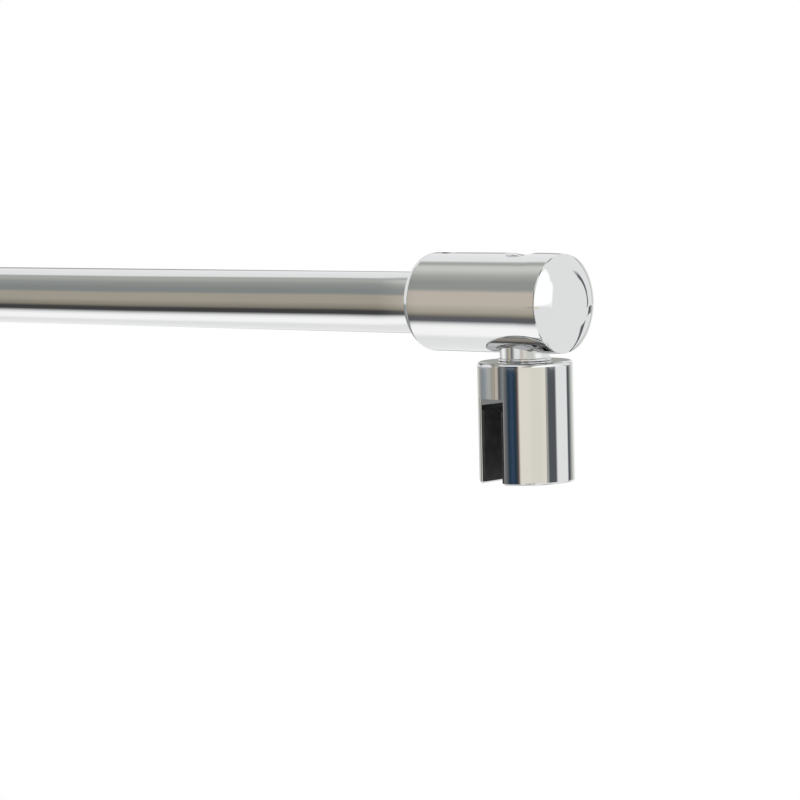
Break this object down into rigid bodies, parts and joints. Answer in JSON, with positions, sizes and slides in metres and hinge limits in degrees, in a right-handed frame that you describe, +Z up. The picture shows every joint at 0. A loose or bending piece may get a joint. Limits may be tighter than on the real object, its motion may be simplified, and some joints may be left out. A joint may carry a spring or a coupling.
{
  "type": "shower screen support bar",
  "caption": "Round polished bar that braces a fixed glass shower screen to the wall, with a wall socket at one end and a swivelling slotted glass clamp under the other.",
  "frame": {"origin": "middle of the wall base's back face, where the bar's wall screw enters the wall", "axes": "+X along the bar from the wall to the glass, +Z up, +Y to the left when looking from the wall along the bar"},
  "size_m": [0.4173, 0.03, 0.0685],
  "materials": {
    "polished_chrome": "polished",
    "steel": "satin",
    "black_steel": "blackened",
    "pad_rubber": "matte",
    "washer_plastic": "matte",
    "brass": "turned"
  },
  "bodies": {
    "bar": {"bar_tube": "polished_chrome", "end_socket": "polished_chrome", "tube_screw": "black_steel", "pivot_washer": "washer_plastic", "wall_base": "brass", "wall_socket": "polished_chrome", "wall_tube_screw": "black_steel", "wall_base_screw": "black_steel"},
    "clamp": {"swivel_post": "polished_chrome", "pivot_screw": "steel", "clamp_body": "polished_chrome", "front_pad": "pad_rubber"},
    "pressure_jaw": {"pressure_plate": "steel", "rear_pad": "pad_rubber", "clamp_screws": "black_steel"}
  },
  "joints": [
    {"name": "clamp_swivel", "type": "hinge", "parent": "bar", "child": "clamp", "pos_m": [0.4, 0, 0], "axis": [0, 0, 1], "continuous": true},
    {"name": "pressure_slide", "type": "slide", "parent": "clamp", "child": "pressure_jaw", "axis": [1, 0, 0], "range_m": [0, 0.0012]}
  ]
}
